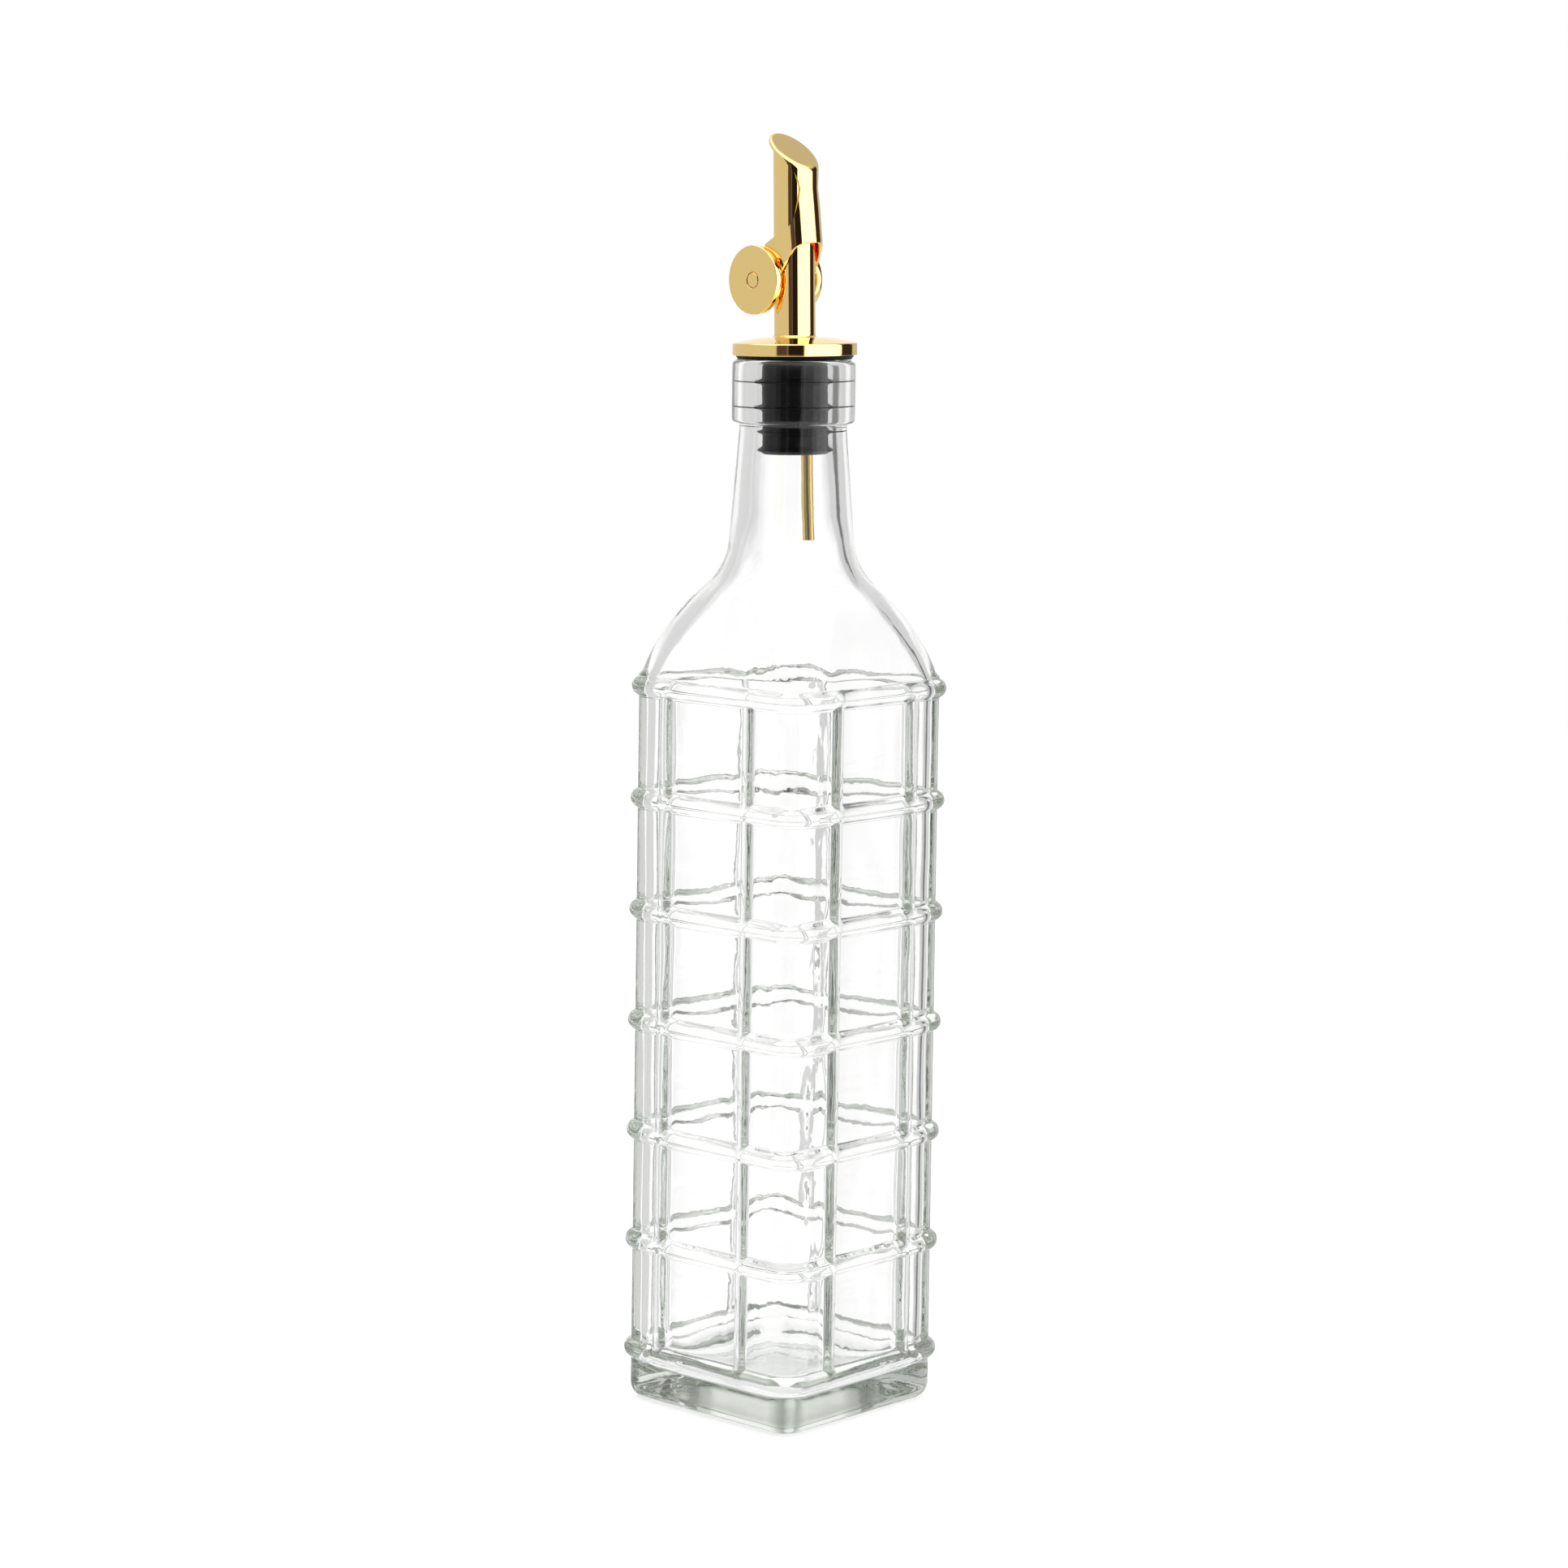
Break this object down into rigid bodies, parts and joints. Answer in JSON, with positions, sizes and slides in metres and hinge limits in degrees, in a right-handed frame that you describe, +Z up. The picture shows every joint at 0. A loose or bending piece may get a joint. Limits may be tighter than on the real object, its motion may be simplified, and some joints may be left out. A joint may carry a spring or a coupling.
{
  "type": "oil bottle with pourer",
  "caption": "Tall square clear-glass bottle with moulded ribs, closed by a rubber stopper with a slanted metal pouring spout and a counterweighted flap.",
  "frame": {"origin": "middle of the footprint, on the surface that the bottle stands on", "axes": "+Z up; the four faces look along X and Y; the spout pours towards -X"},
  "size_m": [0.0606, 0.0606, 0.3149],
  "materials": {
    "clear_glass": "smooth moulded glass, clear with a faint green-grey edge",
    "gold_plated_steel": "polished gold-coloured plating",
    "black_rubber": "satin moulded rubber"
  },
  "bodies": {
    "bottle_and_pourer": {"bottle": "clear_glass", "stopper": "black_rubber", "flange": "gold_plated_steel", "spout": "gold_plated_steel", "air_tube": "gold_plated_steel"},
    "flap": {"flap": "gold_plated_steel", "weight_near": "gold_plated_steel", "weight_far": "gold_plated_steel", "weight_rod": "gold_plated_steel"}
  },
  "joints": [
    {"name": "flap_hinge", "type": "hinge", "parent": "bottle_and_pourer", "child": "flap", "pos_m": [0.00021, -0.00019, 0.2837], "axis": [0.0522, 0.9985, 0.0136], "range_deg": [0, 60]}
  ]
}
